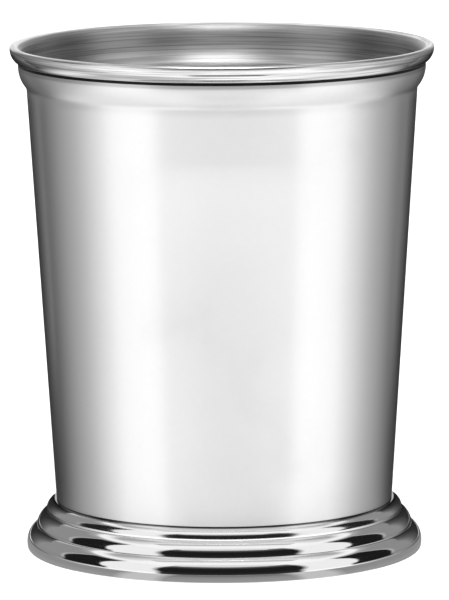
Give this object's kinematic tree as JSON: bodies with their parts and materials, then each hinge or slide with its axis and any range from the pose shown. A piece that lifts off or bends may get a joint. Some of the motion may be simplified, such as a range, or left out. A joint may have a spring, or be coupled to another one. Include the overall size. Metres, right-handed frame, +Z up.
{
  "type": "julep cup",
  "caption": "Tapered metal drinking cup with a satin wall, a stepped-out collar, a rounded wire lip and a polished foot of swelling rings.",
  "frame": {"origin": "middle of the flat ring under the foot that the cup stands on", "axes": "+Z up the cup's axis towards the mouth; the cup is round about +Z, so +X and +Y are free"},
  "size_m": [0.0872, 0.0872, 0.105],
  "materials": {
    "wall": "fine satin outside and inside, greyish white",
    "floor": "satin with turning marks",
    "lip": "polished bright",
    "foot": "mirror polished",
    "sole": "satin"
  },
  "bodies": {
    "root": {"cup_wall": "wall", "cup_floor": "floor", "lip_wire": "lip", "foot_ring": "foot", "sole_ring": "sole"}
  },
  "joints": []
}
